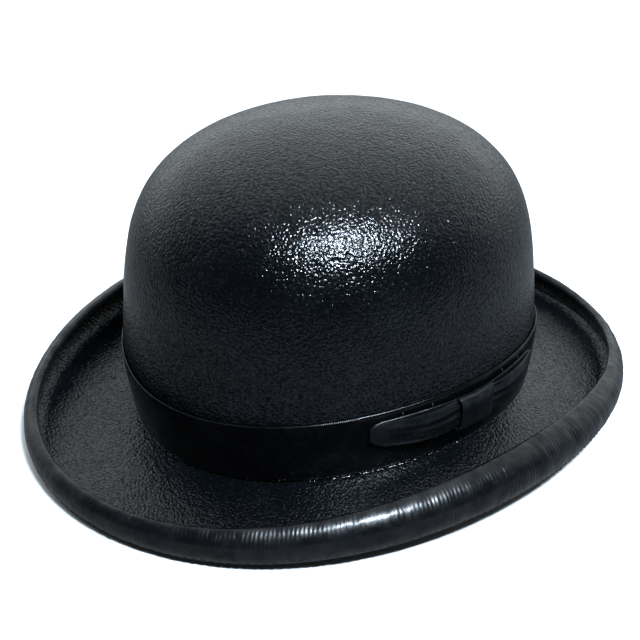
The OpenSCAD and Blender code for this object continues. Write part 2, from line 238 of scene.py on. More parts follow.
def make_object(name, points, faces, uvs, slot, node, sharp=50):
    """An object that stands for a CAD node, from points and one UV pair per face corner, in mm."""
    mesh = bpy.data.meshes.new(name)
    mesh.from_pydata((np.asarray(points).reshape(-1, 3) * MM).tolist(), [], faces)
    if uvs is not None:
        layer = mesh.uv_layers.new(name="Cloth")
        layer.data.foreach_set("uv", (np.asarray(uvs, np.float32) * MM).ravel())
    mesh.validate()
    face_outwards(mesh)
    mesh.polygons.foreach_set("use_smooth", np.ones(len(mesh.polygons), bool))
    mesh.set_sharp_from_angle(angle=math.radians(sharp))
    obj = bpy.data.objects.new(name, mesh)
    bpy.context.scene.collection.objects.link(obj)
    obj.data.materials.append(MATERIALS[slot])
    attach(obj, "root")
    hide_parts(node)
    return obj


def steps_along(points, axis):
    """Distance run along an axis of a grid of points, averaged over the other."""
    d = np.linalg.norm(np.diff(points, axis=axis), axis=-1).mean(axis=1 - axis)
    return np.concatenate([[0], np.cumsum(d)])


def grid_faces(rows, cols, wrap_rows, wrap_cols, u, v):
    """Quads over a grid of points, and the UV of each of their corners."""
    i = np.arange(rows if wrap_rows else rows - 1)
    j = np.arange(cols if wrap_cols else cols - 1)
    I, J = np.meshgrid(i, j, indexing="ij")
    I2, J2 = I + 1, J + 1
    faces = np.stack([I * cols + J, I * cols + J2 % cols,
                      (I2 % rows) * cols + J2 % cols, (I2 % rows) * cols + J], -1).reshape(-1, 4)
    uv = np.stack([np.stack([u[J], v[I]], -1), np.stack([u[J2], v[I]], -1),
                   np.stack([u[J2], v[I2]], -1), np.stack([u[J], v[I2]], -1)], -2).reshape(-1, 2)
    return faces, uv


def skin(name, rows, tip0, tip1, slot, node):
    """A closed skin of revolution-like rows between two tips. rows is (rows, columns, 3)."""
    m, n = rows.shape[:2]
    closed = np.concatenate([rows, rows[:, :1]], 1)
    u, v = steps_along(closed, 1), steps_along(rows, 0)
    quads, uv = grid_faces(m, n, False, True, u, v)
    j = np.arange(n)
    first, last = m * n, m * n + 1
    fan0 = np.stack([(j + 1) % n, j, np.full(n, first)], -1)
    fan1 = np.stack([(m - 1) * n + j, (m - 1) * n + (j + 1) % n, np.full(n, last)], -1)
    uv0 = np.stack([np.stack([u[j + 1], 0 * u[j] + v[0]], -1), np.stack([u[j], 0 * u[j] + v[0]], -1),
                    np.stack([u[j], 0 * u[j] + v[0] - 1], -1)], 1).reshape(-1, 2)
    uv1 = np.stack([np.stack([u[j], 0 * u[j] + v[-1]], -1), np.stack([u[j + 1], 0 * u[j] + v[-1]], -1),
                    np.stack([u[j], 0 * u[j] + v[-1] + 1], -1)], 1).reshape(-1, 2)
    points = np.concatenate([rows.reshape(-1, 3), [tip0, tip1]])
    return make_object(name, points, quads.tolist() + fan0.tolist() + fan1.tolist(),
                       np.concatenate([uv, uv0, uv1]), slot, node)


def shell_parts(front, back, wrap):
    """Points, faces and UVs of a thin closed layer between two faces, with rounded edges."""
    m, n = front.shape[:2]
    half = np.linalg.norm(front - back, axis=-1, keepdims=True) / 2

    def lip(edge, inner):
        away = front[edge] - front[inner]
        away = away / np.maximum(1e-9, np.linalg.norm(away, axis=-1, keepdims=True))
        return (front[edge] + back[edge]) / 2 + away * half[edge] * 0.8

    rows = np.concatenate([front, [lip(-1, -2)], back[::-1], [lip(0, 1)]])
    total = 2 * m + 2
    across = np.concatenate([front, front[:, :1]], 1) if wrap else front
    u = steps_along(across, 1)
    v0 = steps_along(front, 0)
    v = np.concatenate([v0, [v0[-1] + 0.3], v0[::-1], [-0.3, 0]])
    faces, uv = grid_faces(total, n, True, wrap, u, v)
    faces, uv = faces.tolist(), uv.tolist()
    if not wrap:
        for j, flip in ((0, False), (n - 1, True)):
            ends = [(i, i + 1, 2 * m - i - 1, 2 * m - i) for i in range(m - 1)]
            ends += [(m - 1, m, m + 1), (0, 2 * m, 2 * m + 1)[::-1]]
            for face in ends:
                face = face[::-1] if flip else face
                faces.append([k * n + j for k in face])
                uv += [[u[j], v[k]] for k in face]
    return rows.reshape(-1, 3), faces, uv


def shell(name, front, back, wrap, slot, node):
    points, faces, uv = shell_parts(front, back, wrap)
    return make_object(name, points, faces, uv, slot, node)


def joined(name, parts, slot, node):
    """One object from several lists of points, faces and UVs."""
    points, faces, uvs, base = [], [], [], 0
    for p, f, t in parts:
        points.append(p)
        faces += [[k + base for k in face] for face in f]
        uvs += list(t)
        base += len(p)
    return make_object(name, np.concatenate(points), faces, uvs, slot, node)


def tube_parts(path, radius, sides, closed, squash=None, up=None):
    """A tube along a path of points in mm. squash is a second radius, along up."""
    n = len(path)
    ahead = np.roll(path, -1, 0) - np.roll(path, 1, 0)
    if not closed:
        ahead[0], ahead[-1] = path[1] - path[0], path[-1] - path[-2]
    ahead = ahead / np.linalg.norm(ahead, axis=-1, keepdims=True)
    up = np.broadcast_to(np.array([0, 0, 1.0]) if up is None else up, (n, 3))
    side = np.cross(ahead, up)
    side = side / np.linalg.norm(side, axis=-1, keepdims=True)
    up = np.cross(side, ahead)
    turn = np.arange(sides) * 2 * math.pi / sides
    radius = np.broadcast_to(radius, (n,))[:, None, None]
    tall = radius if squash is None else np.broadcast_to(squash, (n,))[:, None, None]
    rows = (path[:, None] + side[:, None] * radius * np.cos(turn)[None, :, None]
            + up[:, None] * tall * np.sin(turn)[None, :, None])
    u = np.linspace(0, 2 * math.pi * float(radius.mean()), sides + 1)
    length = np.linalg.norm(np.diff(path, axis=0), axis=-1)
    v = np.concatenate([[0], np.cumsum(length)])
    v = np.append(v, v[-1] + length[-1])
    faces, uv = grid_faces(n, sides, closed, True, u, v)
    faces, uv = faces.tolist(), uv.tolist()
    if not closed:
        for j, ring_at in ((0, list(range(sides))[::-1]), (n - 1, list(range(sides)))):
            faces.append([j * sides + k for k in ring_at])
            uv += [[u[k], v[j]] for k in ring_at]
    return rows.reshape(-1, 3), faces, uv


def stitch_parts(start, end, normal, radius, arch, sides=6, steps=5):
    """One stitch: a short thread that dives into the cloth at both ends."""
    t = np.linspace(0, 1, steps)
    rise = arch * np.sin(math.pi * t) - 0.5 * radius * np.abs(2 * t - 1) ** 3
    path = start[None] * (1 - t)[:, None] + end[None] * t[:, None] + normal[None] * rise[:, None]
    thin = radius * (1 - 0.35 * np.abs(2 * t - 1) ** 4)
    return tube_parts(path, thin, sides, False, up=normal)


# ---- Materials ----

class Paint:
    """A Principled material and short ways to add nodes to it. Lengths in patterns are in mm."""

    def __init__(self, name):
        self.material = bpy.data.materials.new(name)
        self.material.use_nodes = True
        self.nodes = self.material.node_tree.nodes
        self.links = self.material.node_tree.links
        self.shader = self.nodes["Principled BSDF"]
        self.place = self.nodes.new("ShaderNodeTexCoord").outputs["Object"]
        cloth = self.nodes.new("ShaderNodeUVMap")
        cloth.uv_map = "Cloth"
        self.cloth = cloth.outputs["UV"]

    def put(self, socket, value):
        if isinstance(value, bpy.types.NodeSocket):
            self.links.new(value, socket)
        else:
            socket.default_value = value

    def stretched(self, source, sizes):
        """Coordinates in which a pattern of size 1 has these sizes in mm."""
        node = self.nodes.new("ShaderNodeVectorMath")
        node.operation = "MULTIPLY"
        self.put(node.inputs[0], source)
        self.put(node.inputs[1], [1000.0 / s for s in sizes])
        return node.outputs["Vector"]

    def noise(self, size, source=None, detail=2.0, rough=0.5, twist=0.0):
        node = self.nodes.new("ShaderNodeTexNoise")
        sizes = size if isinstance(size, tuple) else (size, size, size)
        self.put(node.inputs["Vector"], self.stretched(source or self.place, sizes))
        self.put(node.inputs["Scale"], 1.0)
        self.put(node.inputs["Detail"], detail)
        self.put(node.inputs["Roughness"], rough)
        self.put(node.inputs["Distortion"], twist)
        return node.outputs["Fac"]

    def pebbles(self, size, source=None):
        node = self.nodes.new("ShaderNodeTexVoronoi")
        node.feature = "SMOOTH_F1"
        self.put(node.inputs["Vector"], self.stretched(source or self.place, (size,) * 3))
        self.put(node.inputs["Scale"], 1.0)
        self.put(node.inputs["Smoothness"], 0.6)
        return node.outputs["Distance"]

    def ribs(self, pitch, axis, source=None, twist=0.0):
        """Parallel ribs, pitch mm apart along X or Y of the coordinates."""
        node = self.nodes.new("ShaderNodeTexWave")
        node.bands_direction = axis
        self.put(node.inputs["Vector"], self.stretched(source or self.cloth, (1.0, 1.0, 1.0)))
        self.put(node.inputs["Scale"], math.pi / (10 * pitch))
        self.put(node.inputs["Distortion"], twist)
        self.put(node.inputs["Detail"], 1.0)
        return node.outputs["Fac"]

    def calc(self, kind, first, second=0.0):
        node = self.nodes.new("ShaderNodeMath")
        node.operation = kind
        self.put(node.inputs[0], first)
        self.put(node.inputs[1], second)
        return node.outputs["Value"]

    def spread(self, value, low, high, start=0.3, end=0.7):
        """value from start to end, spread from low to high."""
        node = self.nodes.new("ShaderNodeMapRange")
        node.interpolation_type = "SMOOTHSTEP"
        for name, number in (("Value", value), ("From Min", start), ("From Max", end),
                             ("To Min", low), ("To Max", high)):
            self.put(node.inputs[name], number)
        return node.outputs["Result"]

    def colours(self, share, first, second):
        node = self.nodes.new("ShaderNodeMix")
        node.data_type = "RGBA"
        self.put(node.inputs[0], share)
        self.put(node.inputs[6], (*first, 1) if isinstance(first, tuple) else first)
        self.put(node.inputs[7], (*second, 1) if isinstance(second, tuple) else second)
        return node.outputs[2]

    def total(self, *weighted):
        """The sum of (value, weight) pairs."""
        result = None
        for value, weight in weighted:
            part = self.calc("MULTIPLY", value, weight)
            result = part if result is None else self.calc("ADD", result, part)
        return result

    def finish(self, colour, rough, height=None, relief=0.3, **fixed):
        """Sets colour, roughness and a bump of relief mm, and constant inputs by their names."""
        self.put(self.shader.inputs["Base Color"], colour)
        self.put(self.shader.inputs["Roughness"], rough)
        if height is not None:
            bump = self.nodes.new("ShaderNodeBump")
            self.put(bump.inputs["Strength"], 1.0)
            self.put(bump.inputs["Distance"], relief * MM)
            self.put(bump.inputs["Height"], height)
            self.put(self.shader.inputs["Normal"], bump.outputs["Normal"])
        for name, value in fixed.items():
            self.put(self.shader.inputs[name.replace("_", " ")], value)
        return self.material


def lacquered_felt():
    p = Paint("lacquered_felt")
    grain = p.noise(1.15, detail=1)
    pebble = p.pebbles(1.3)
    level = p.noise((4.0, 4.0, 0.9), detail=1)
    upright = p.noise((0.9, 0.9, 4.0), detail=1)
    fine = p.noise(0.45, detail=1)
    height = p.total((grain, 0.5), (pebble, -0.35), (level, 0.25), (upright, 0.18), (fine, 0.05))
    # Partly painted shade: besides broad random patches of tone, the colour darkens in the low spots of
    # the bump's grain and pebbles, where shade falls.
    uneven = p.spread(p.total((p.noise(23, detail=3), 0.6), (height, 0.5)), 0, 1, 0.42, 0.75)
    colour = p.colours(uneven, (0.0012, 0.0017, 0.0023), (0.0036, 0.0046, 0.0057))
    rough = p.spread(p.total((p.noise(14, detail=2), 0.5), (grain, 0.5)), 0.12, 0.24)
    pits = p.total((grain, 0.6), (fine, 0.4))
    gloss = p.spread(pits, 0.15, 0.48, 0.38, 0.6)            # pits hold less lacquer
    return p.finish(colour, rough, height, 0.64, IOR=1.5, Specular_IOR_Level=gloss)


def ribbon(name, dark, light, rough_low, rough_high, pitch, relief, coat, gloss):
    p = Paint(name)
    rib = p.ribs(pitch, "X", twist=2.2)
    weave = p.noise((pitch * 0.8, 3.0, 1.0), p.cloth, detail=1)
    soft = p.noise(2.6, detail=2)
    patch = p.noise(17, detail=3)
    uneven = p.spread(p.noise(8, detail=3), 0.5, 1.3)
    height = p.total((rib, p.spread(p.noise(12), 0.1, 0.6)), (weave, 0.3), (soft, 0.5))
    colour = p.colours(p.spread(p.total((patch, 0.7), (weave, 0.3)), 0, 1), dark, light)
    rough = p.spread(p.total((patch, 0.5), (soft, 0.5)), rough_low, rough_high)
    return p.finish(colour, rough, height, relief, IOR=1.5, Coat_Weight=coat, Coat_Roughness=0.2,
                    Specular_IOR_Level=p.calc("MULTIPLY", uneven, gloss))


def thread_material():
    p = Paint("thread")
    twist = p.ribs(0.45, "DIAGONAL", twist=0.4)
    patch = p.noise(4, detail=2)
    colour = p.colours(patch, (0.006, 0.006, 0.007), (0.02, 0.02, 0.022))
    return p.finish(colour, p.spread(patch, 0.4, 0.7), twist, 0.08)


def satin_lining():
    p = Paint("satin_lining")
    warp = p.noise((0.22, 5.0, 1.0), p.cloth, detail=1)
    weft = p.noise((2.5, 0.25, 1.0), p.cloth, detail=1)
    patch = p.noise(24, detail=3)
    tone = p.spread(p.total((patch, 0.75), (warp, 0.25)), 0, 1)
    colour = p.colours(tone, (0.43, 0.35, 0.24), (0.58, 0.5, 0.38))
    rough = p.spread(p.total((warp, 0.5), (patch, 0.5)), 0.28, 0.46)
    height = p.total((warp, 0.5), (weft, 0.3), (p.noise(5, detail=2), 0.6))
    return p.finish(colour, rough, height, 0.08, Sheen_Weight=0.3, Sheen_Roughness=0.35,
                    Anisotropic=0.4)


def piping_material():
    p = Paint("piping")
    twist = p.ribs(1.2, "DIAGONAL", twist=0.3)
    patch = p.noise(9, detail=2)
    colour = p.colours(patch, (0.07, 0.038, 0.02), (0.14, 0.08, 0.045))
    return p.finish(colour, p.spread(patch, 0.35, 0.55), twist, 0.15, Sheen_Weight=0.2)


def clear_film():
    p = Paint("clear_film")
    ripple = p.noise(16, detail=2)
    colour = p.colours(ripple, (0.93, 0.94, 0.93), (0.97, 0.97, 0.96))
    return p.finish(colour, p.spread(ripple, 0.05, 0.12), ripple, 0.5, Alpha=0.16, IOR=1.45)


def sweatband_leather():
    p = Paint("sweatband_leather")
    pores = p.pebbles(0.9)
    creases = p.noise((9, 9, 3.2), detail=4, rough=0.6, twist=0.8)
    patch = p.noise(30, detail=3)
    darker = p.spread(p.total((patch, 0.6), (creases, 0.4)), 0, 1)
    colour = p.colours(darker, (0.2, 0.088, 0.036), (0.36, 0.185, 0.085))
    rough = p.spread(p.total((creases, 0.5), (patch, 0.5)), 0.32, 0.52)
    height = p.total((pores, 0.35), (creases, 0.5), (p.noise(0.5, detail=1), 0.15))
    return p.finish(colour, rough, height, 0.22, Coat_Weight=0.12, Coat_Roughness=0.3)


def reed_plastic():
    p = Paint("reed_plastic")
    patch = p.noise(7, detail=3)
    colour = p.colours(patch, (0.52, 0.47, 0.38), (0.68, 0.64, 0.55))
    return p.finish(colour, p.spread(patch, 0.35, 0.55), p.noise(1.2, detail=2), 0.06)


def tape_material():
    p = Paint("tape")
    over = p.ribs(0.7, "X", twist=0.3)
    under = p.ribs(0.8, "Y", twist=0.3)
    patch = p.noise(11, detail=2)
    colour = p.colours(patch, (0.018, 0.016, 0.015), (0.04, 0.036, 0.033))
    return p.finish(colour, p.spread(patch, 0.65, 0.85), p.total((over, 0.5), (under, 0.5)), 0.18)


def card_material():
    p = Paint("card")
    fibres = p.noise((3, 3, 0.7), detail=4, rough=0.7)
    patch = p.noise(12, detail=3)
    colour = p.colours(p.total((fibres, 0.5), (patch, 0.5)), (0.66, 0.6, 0.47), (0.82, 0.78, 0.68))
    return p.finish(colour, p.spread(fibres, 0.7, 0.9), fibres, 0.06)


MATERIALS = {
    "lacquered_felt": lacquered_felt(),
    "edge_ribbon": ribbon("edge_ribbon", (0.001, 0.0013, 0.0017), (0.0036, 0.0043, 0.0052),
                          0.24, 0.4, 1.8, 0.17, 0.12, 0.31),
    "band_ribbon": ribbon("band_ribbon", (0.0006, 0.0006, 0.0008), (0.0018, 0.0018, 0.0022),
                          0.2, 0.34, 0.8, 0.08, 0.1, 0.2),
    "bow_ribbon": ribbon("bow_ribbon", (0.002, 0.0025, 0.003), (0.006, 0.007, 0.0082),
                         0.24, 0.42, 0.8, 0.12, 0.08, 0.25),
    "thread": thread_material(),
    "satin_lining": satin_lining(),
    "piping": piping_material(),
    "clear_film": clear_film(),
    "sweatband_leather": sweatband_leather(),
    "reed_plastic": reed_plastic(),
    "tape": tape_material(),
    "inner_ribbon": ribbon("inner_ribbon", (0.02, 0.011, 0.009), (0.045, 0.027, 0.022),
                           0.3, 0.45, 0.5, 0.06, 0.0, 0.35),
    "card": card_material(),
}


# ---- Felt ----

def ease(x, start, end):
    t = np.clip((x - start) / (end - start), 0, 1)
    return t * t * (3 - 2 * t)


def normals(grid):
    """Unit normals of a grid of points that wraps along its second axis."""
    down = np.gradient(grid, axis=0)
    along = (np.roll(grid, -1, 1) - np.roll(grid, 1, 1)) / 2
    n = np.cross(down, along)
    return n / np.maximum(1e-9, np.linalg.norm(n, axis=-1, keepdims=True))


def felt_hood():
    a = around(400)
    fillet, corner = 1.5, 1.8
    rows, loose = [], []           # loose is how far each point may wander, from 0 to 1

    def add(points, freedom):
        rows.append(points)
        loose.append(freedom + 0 * a)

    for row in np.linspace(DOME_ROWS - 0.15, 0, 62):
        add(dome_pt(a, row, 0), 1.0)
    for share in np.linspace(1, 0.07, 36)[1:]:
        z = mix(break_z(a), SHOULDER, share)
        add(crown_pt(a, z, 0), ease(z - break_z(a), BAND_FOOT + BAND_H + 0.5, BAND_FOOT + BAND_H + 4))
    for k in np.linspace(0, 90, 5):
        add(brim_pt(a, fillet * (1 - cosd(k)), fillet * (1 - sind(k))), 0.0)
    for share in np.linspace(0.1, 1, 18):
        add(flat_pt(a, mix(fillet, flat_len(a), share), 0), ease(share, 0.05, 0.3))
    inner_stop = binding_end(a)
    for share in np.linspace(0, 1, 12)[1:]:
        add(curl_pt(a, mix(slope(a), inner_stop, share), 0), 1 - ease(share, 0.6, 0.9))
    for share in np.linspace(0, 1, 7)[1:]:
        add(curl_pt(a, mix(inner_stop, curl_end(a), share), 0), 0.0)
    for k in np.linspace(0, 180, 8)[1:-1]:
        add(edge_pt(a, k, 0), 0.0)
    for share in np.linspace(0, 1, 12):
        add(curl_pt(a, mix(curl_end(a), BINDING_START, share), FELT), 0.0)
    for share in np.linspace(0, 1, 14)[1:]:
        add(curl_pt(a, mix(BINDING_START, slope(a), share), FELT), 0.35 * ease(share, 0.1, 0.4))
    for share in np.linspace(1, 0.06, 14)[1:]:
        add(flat_pt(a, flat_len(a) * share, FELT), 0.6)
    for k in np.linspace(0, 75, 5):
        add(brim_pt(a, -FELT + corner * (1 - sind(k)), -FELT + corner * (1 - cosd(k))), 0.0)
    add(wall_pt(a, corner - FELT, FELT), 0.0)
    for share in np.linspace(0.04, 1, 14):
        add(crown_pt(a, mix(break_z(a), SHOULDER, share), FELT), 0.0)
    for row in np.linspace(0, DOME_ROWS - 0.15, 24)[1:]:
        add(dome_pt(a, row, FELT), 0.0)

    grid, loose = np.array(rows), np.array(loose)
    wander = (0.2 * noise(grid, 27, 3) + 0.1 * noise(grid, 9, 5) + 0.05 * noise(grid, 4, 8)) * loose
    off_floor = ease(grid[..., 2], 0.0, 1.5)
    grid = grid + normals(grid) * (wander * off_floor)[..., None]
    grid[..., 2] = np.maximum(0, grid[..., 2])
    skin("felt_hood", grid, apex(0), apex(FELT), "lacquered_felt", "felt_body")


# ---- Binding ----

def ring_length(points):
    """Distance run round a ring of points, in mm, and its whole length."""
    d = np.linalg.norm(np.roll(points, -1, 0) - points, axis=-1)
    return np.concatenate([[0], np.cumsum(d)[:-1]]), d.sum()


def binding_face(a, proud):
    rows = [curl_pt(a, mix(binding_end(a), curl_end(a), s), -proud) for s in np.linspace(0, 1, 9)]
    rows += [edge_pt(a, k, proud) for k in np.linspace(0, 180, 9)[1:-1]]
    rows += [curl_pt(a, mix(curl_end(a), BINDING_START, s), FELT + proud) for s in np.linspace(0, 1, 20)]
    return np.array(rows)


def brim_binding():
    a = around(1300)
    front, back = binding_face(a, BINDING_T), binding_face(a, BINDING_GAP)
    run, length = ring_length(curl_pt(a, 90.0, FELT))
    down = steps_along(front, 0)
    down = down / down[-1]
    slant = 7.5 * ring_noise(a, 9, 21)                        # mm that a crease leans across the ribbon
    along = run[None] + (down[:, None] - 0.5) * slant[None]
    tight, wide = length / (PERIOD * 9), length / (PERIOD * 4)       # whole rounds, so the creases close

    def creases(size, seed):
        spots = np.stack([along, down[:, None] * 3.2 * size + 0 * along, 0 * along], -1)
        return noise(spots, size, seed)

    # stronger and weaker round the rim, and strongest where the sides curl tightly
    strength = 0.7 + 0.35 * np.tanh(ring_noise(a, 11, 4)) + 0.4 * np.maximum(0, cosd(a))
    pucker = 0.18 * np.abs(creases(tight, 31)) + 0.2 * (1 - np.abs(creases(wide, 32))) ** 3
    pucker = pucker * strength[None] * (0.35 + 0.65 * ease(down, 0.25, 0.5))[:, None]
    pucker = pucker * (1 - 0.7 * ease(down, 0.93, 1.0))[:, None]
    front = front + normals(front) * -(pucker - 0.05)[..., None]
    front[..., 2] = np.maximum(0.02, front[..., 2])
    obj = shell("brim_ribbon", front, back, True, "edge_ribbon", "brim_binding")


def row_of_stitches(point_at, count, length, radius, arch, tilt=0.0):
    """Stitches along a ring. point_at(a, side) gives a point and side shifts it across the row."""
    parts = []
    centre = np.arange(count) * 360.0 / count
    _, ring_total = ring_length(point_at(centre, 0.0))
    half = length / ring_total * 180.0
    starts, ends = point_at(centre - half, -tilt), point_at(centre + half, tilt)
    lifted = point_at(centre, 0.0, 1.0) - point_at(centre, 0.0, 0.0)
    for s, e, n in zip(starts, ends, lifted):
        parts.append(stitch_parts(s, e, n / np.linalg.norm(n), radius, arch))
    return parts


def binding_stitches():
    def outside(a, side, proud=0.0):
        k = mix(curl_end(a), BINDING_START, OUTER_ROW) + side
        return curl_pt(a, k, FELT + BINDING_T + 0.02 + proud)

    def inside(a, side, proud=0.0):
        k = mix(binding_end(a), curl_end(a), INNER_ROW) + side
        return curl_pt(a, k, -BINDING_T - 0.12 - proud)

    parts = row_of_stitches(outside, count=244, length=2.2, radius=0.15, arch=0.08)
    parts += row_of_stitches(inside, count=236, length=2.3, radius=0.22, arch=0.12)
    joined("binding_stitches", parts, "thread", "binding_thread")


# ---- Band and bow ----

def hat_band():
    a = around(480)
    sway = 0.12 * ring_noise(a, 14, 41)
    rows_front, rows_back = [], []
    for t in np.linspace(0, 1, 22):
        h = BAND_FOOT + BAND_H * t + sway * t
        swell = 0.1 * math.sin(math.pi * t) + 0.06 * ring_noise(a + 40 * t, 17, 42)
        rows_front.append(wall_pt(a, h, -BAND_OUT - swell))
        rows_back.append(wall_pt(a, h, -BAND_GAP))
    front, back = np.array(rows_front), np.array(rows_back)
    obj = shell("band_ribbon", front, back, True, "band_ribbon", "hat_band")


def along_loop(off):
    return np.clip((off - KNOT_HALF) / (BOW_HALF - KNOT_HALF), 0, 1)


def bow_height(off):
    return BOW_MID_H + BOW_CLIMB * along_loop(off)


def bow_half_h(off):
    u = along_loop(off)
    rounded = np.sqrt(np.maximum(LEAST_END, 1 - (np.maximum(0, u - ROUND_FROM) / ROUND_OVER) ** 2))
    return (BOW_HALF_H - BOW_NARROWING * u**2) * rounded


def bow_loop(side, name, node, seed):
    """A loop of ribbon, folded at its far end, with both ends under the knot."""
    first, last = KNOT_HALF - 2.5, BOW_HALF - 0.6
    turn = np.linspace(-90, 90, 91)                          # -90 is the front end, 90 the back end
    u = np.abs(cosd(turn)) ** 0.5
    swing = np.sign(turn) * np.abs(sind(turn)) ** 0.55       # 1 on the back layer, -1 on the front
    off = mix(first, last, u)
    v = np.linspace(-1, 1, 25)[:, None]
    a = BOW_MID + side * off
    puff = PUFF * sind(180 * np.clip(along_loop(off), 0, 1) ** 0.75) + 0.7 * (1 - u)
    depth = puff[None] * (0.5 + 0.5 * np.sqrt(1 - 0.98 * v**2))
    middle = LOOP_BACK + BOW_T / 2
    front_share = np.maximum(0, -swing)[None]
    proud = middle + (BOW_T + depth) * front_share + 0.0 * v
    near = (1 - u[None]) ** 1.6 * front_share
    proud = proud + near * (0.35 * np.cos(3.2 * math.pi * v + seed) + 0.15 * np.cos(7 * v + 2 * seed))
    h = bow_height(off)[None] + (bow_half_h(off)[None] - 0.1) * v
    spots = np.stack(np.broadcast_arrays(off[None] * 1.7, v * 3, 0), -1)
    h = h + 0.25 * front_share * noise(spots, 9, seed)
    mid = wall_pt(a[None] + 0 * v, h, -proud)
    return thick(name, mid, BOW_T, "bow_ribbon", node)


def thick(name, mid, thickness, slot, node):
    """A ribbon of this thickness about its middle surface, a grid of points that doesn't wrap."""
    down, along = np.gradient(mid, axis=0), np.gradient(mid, axis=1)
    n = np.cross(down, along)
    n = n / np.maximum(1e-9, np.linalg.norm(n, axis=-1, keepdims=True))
    return shell(name, mid + n * thickness / 2, mid - n * thickness / 2, False, slot, node)


def bow():
    front = bow_loop(-1, "bow_loop_front", "bow_front_loop", 1)
    rear = bow_loop(1, "bow_loop_rear", "bow_rear_loop", 2)

    a = np.linspace(BOW_MID - BOW_HALF + 2, BOW_MID + BOW_HALF - 2, 90)
    off = np.abs(a - BOW_MID)
    v = np.linspace(-1, 1, 11)[:, None]
    h = bow_height(off)[None] + (bow_half_h(off)[None] - 0.6) * v
    mid = wall_pt(a[None] + 0 * v, h, -(BACKING_OUT - BOW_T / 2))
    backing = thick("bow_tab", mid, BOW_T, "band_ribbon", "bow_backing")

    wide = np.linspace(-1, 1, 33)[None]                      # across the knot's ribbon, along the band
    turn = np.linspace(-180, 180, 73)[:, None]               # round the loops
    a = BOW_MID + KNOT_HALF * wide * (1 - 0.1 * np.abs(cosd(turn)) ** 2)
    up = np.sign(sind(turn)) * np.abs(sind(turn)) ** 0.7
    out = np.sign(cosd(turn)) * np.abs(cosd(turn)) ** 0.7
    h = 19.9 + 7.9 * up + 0.3 * np.abs(wide) * np.sign(up)
    middle, half = LOOP_BACK + 1.9, 1.9 + 0.5 * np.sqrt(1.02 - wide**2)
    folds = 0.22 * np.cos(8.5 * wide + 0.8 * up) * (out > 0) * out
    proud = middle + half * out + folds
    mid = wall_pt(a + 0 * h, h, -proud)
    knot = thick("bow_wrap", mid, 0.55, "bow_ribbon", "bow_knot")

    parts = []
    for side in (-1, 1):
        for off in (12.0, 20.0):
            at = BOW_MID + side * off
            top = bow_height(off) + bow_half_h(off)
            start = wall_pt(at, top - 0.1, -BAND_OUT - 0.45)
            end = wall_pt(at, top + 1.5, -BAND_OUT - 0.1)
            parts.append(stitch_parts(start, end, np.append(outward(at), 0), 0.2, 0.2))
    joined("bow_stitches", parts, "thread", "bow_tacks")


# ---- Lining ----

def lining():
    a = around(720)
    heights = [("wall", h) for h in np.linspace(0, 1, 14)[:-1]] + \
              [("dome", r) for r in np.linspace(0, SEAM_ROW - 0.1, 26)]
    gathers = 78
    phase = np.radians(gathers * a) + 1.4 * ring_noise(a, 20, 51)
    inner, outer = [], []
    for i, (kind, t) in enumerate(heights):
        up = i / (len(heights) - 1)
        pleat = (0.5 + 0.5 * np.cos(phase + 0.5 * math.sin(5 * up))) ** 1.4
        extra = (0.12 + 0.85 * ease(up, 0.35, 0.97)) * pleat * (1 - 0.5 * ease(up, 0.97, 1.0))
        for rows, inside in ((inner, LINING_IN - 0.05 + extra), (outer, LINING_OUT + 0.55 * extra)):
            if kind == "wall":
                rows.append(crown_pt(a, mix(break_z(a) + LINING_FOOT, SHOULDER, t), inside))
            else:
                rows.append(dome_pt(a, t, inside))
    side = shell("lining_skirt", np.array(inner), np.array(outer), True, "satin_lining", "lining_side")

    a = around(240)
    rows = []
    for face in (0, 1):
        reach = np.linspace(DOME_ROWS - 0.3, SEAM_ROW, 30)
        for row in (reach if face == 0 else reach[::-1]):
            edge = 1 - ease(row, SEAM_ROW, SEAM_ROW + 1.6)
            slack = 0.12 * edge * np.cos(np.radians(56 * a) + ring_noise(a, 9, 55))
            rows.append(dome_pt(a, row, (LINING_OUT, LINING_IN)[face] + np.abs(slack)))
    tip = skin("lining_crown", np.array(rows), apex(LINING_OUT), apex(LINING_IN),
               "satin_lining", "lining_tip")

    a = around(360)
    path = dome_pt(a, SEAM_ROW, LINING_IN + 1.0)
    joined("seam_piping", [tube_parts(path, PIPING_R, 12, True)], "piping", "lining_piping")

    a = around(240)
    rows = []
    for depth, reach in ((0.1, np.linspace(DOME_ROWS - 0.3, SEAM_ROW + 1, 24)),
                         (0.35, np.linspace(SEAM_ROW + 1, DOME_ROWS - 0.3, 24))):
        for row in reach:
            ripple = 0.25 * (1 + noise(dome_pt(a, row, 0), 22, 57)) * ease(row, 7, 8.5)
            rows.append(dome_pt(a, row, LINING_IN + depth + ripple))
    skin("film_shield", np.array(rows), apex(LINING_IN + 0.35), apex(LINING_IN + 0.6),
         "clear_film", "tip_shield")

    parts = []
    for at in around(12):
        n = np.append(-outward(at), 0)
        shift = math.degrees(1.0 / np.linalg.norm([HALF_W * sind(at), HALF_L * cosd(at)]))
        start = wall_pt(at - shift, LINING_TACK_H, LINING_IN + 0.3)
        end = wall_pt(at + shift, LINING_TACK_H, LINING_IN + 0.3)
        parts.append(stitch_parts(start, end, n, 0.18, 0.1))
    joined("lining_stitches", parts, "thread", "lining_tacks")


# ---- Sweatband ----

